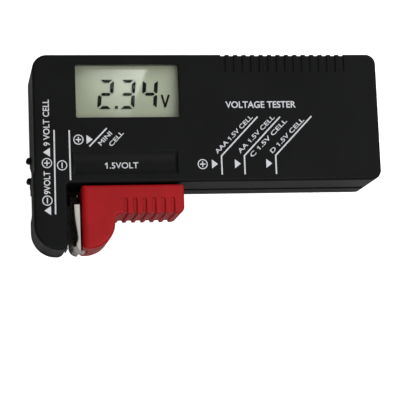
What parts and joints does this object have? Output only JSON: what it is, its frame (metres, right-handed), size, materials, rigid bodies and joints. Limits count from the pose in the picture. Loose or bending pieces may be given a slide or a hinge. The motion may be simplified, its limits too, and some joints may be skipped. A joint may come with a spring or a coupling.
{
  "type": "battery tester",
  "caption": "Flat hand-held cell tester with a display, a fixed contact arm, a sprung sliding contact that clamps a cell, and side contacts for a block battery.",
  "frame": {"origin": "middle of the whole outline, on the plane of the flat back", "axes": "+X along the scale from the fixed contact arm to the far end, +Y towards the edge with finger grooves, +Z out of the display face"},
  "size_m": [0.1054, 0.058, 0.024],
  "materials": {
    "black_case": "fine moulded satin",
    "red_slider": "satin gloss",
    "nickel": "nickel plated strip",
    "spring_steel": "drawn wire",
    "screw_steel": "zinc plated",
    "clear_lens": "clear",
    "lcd": "grey green reflective display",
    "zebra": "matt",
    "board": "solder mask",
    "epoxy": "cured resin",
    "resistor": "glazed",
    "ceramic": "fired",
    "can": "printed sleeve, blank",
    "ferrite": "sintered",
    "wire_red": "insulation",
    "wire_black": "insulation"
  },
  "bodies": {
    "case_body": {"front_case": "black_case", "rear_case": "black_case", "negative_contact": "nickel", "nine_volt_plus_contact": "nickel", "nine_volt_minus_contact": "nickel", "spring_anchor": "nickel", "return_spring": "spring_steel", "lcd_window": "clear_lens", "lcd_panel": "lcd", "zebra_strip_upper": "zebra", "zebra_strip_lower": "zebra", "pcb": "board", "cob_chip": "epoxy", "transistor": "epoxy", "resistor_1": "resistor", "resistor_2": "resistor", "resistor_3": "resistor", "resistor_4": "resistor", "capacitor_1": "ceramic", "capacitor_2": "ceramic", "electrolytic_capacitor": "can", "boost_inductor": "ferrite", "wire_negative": "wire_black", "wire_nine_volt_minus": "wire_black", "wire_positive": "wire_red", "wire_nine_volt_plus": "wire_red", "case_screw_top_left": "screw_steel", "case_screw_top_right": "screw_steel", "case_screw_right": "screw_steel", "case_screw_arm": "screw_steel", "pcb_screw_left": "screw_steel", "pcb_screw_right": "screw_steel", "pcb_screw_top": "screw_steel"},
    "slider_body": {"slider": "red_slider", "positive_contact": "nickel"}
  },
  "joints": [
    {"name": "slider_travel", "type": "slide", "parent": "case_body", "child": "slider_body", "axis": [1, 0, 0], "range_m": [0, 0.062], "stiffness_N_per_m": 25, "springref_m": -0.03, "deforming": ["return_spring"]}
  ]
}
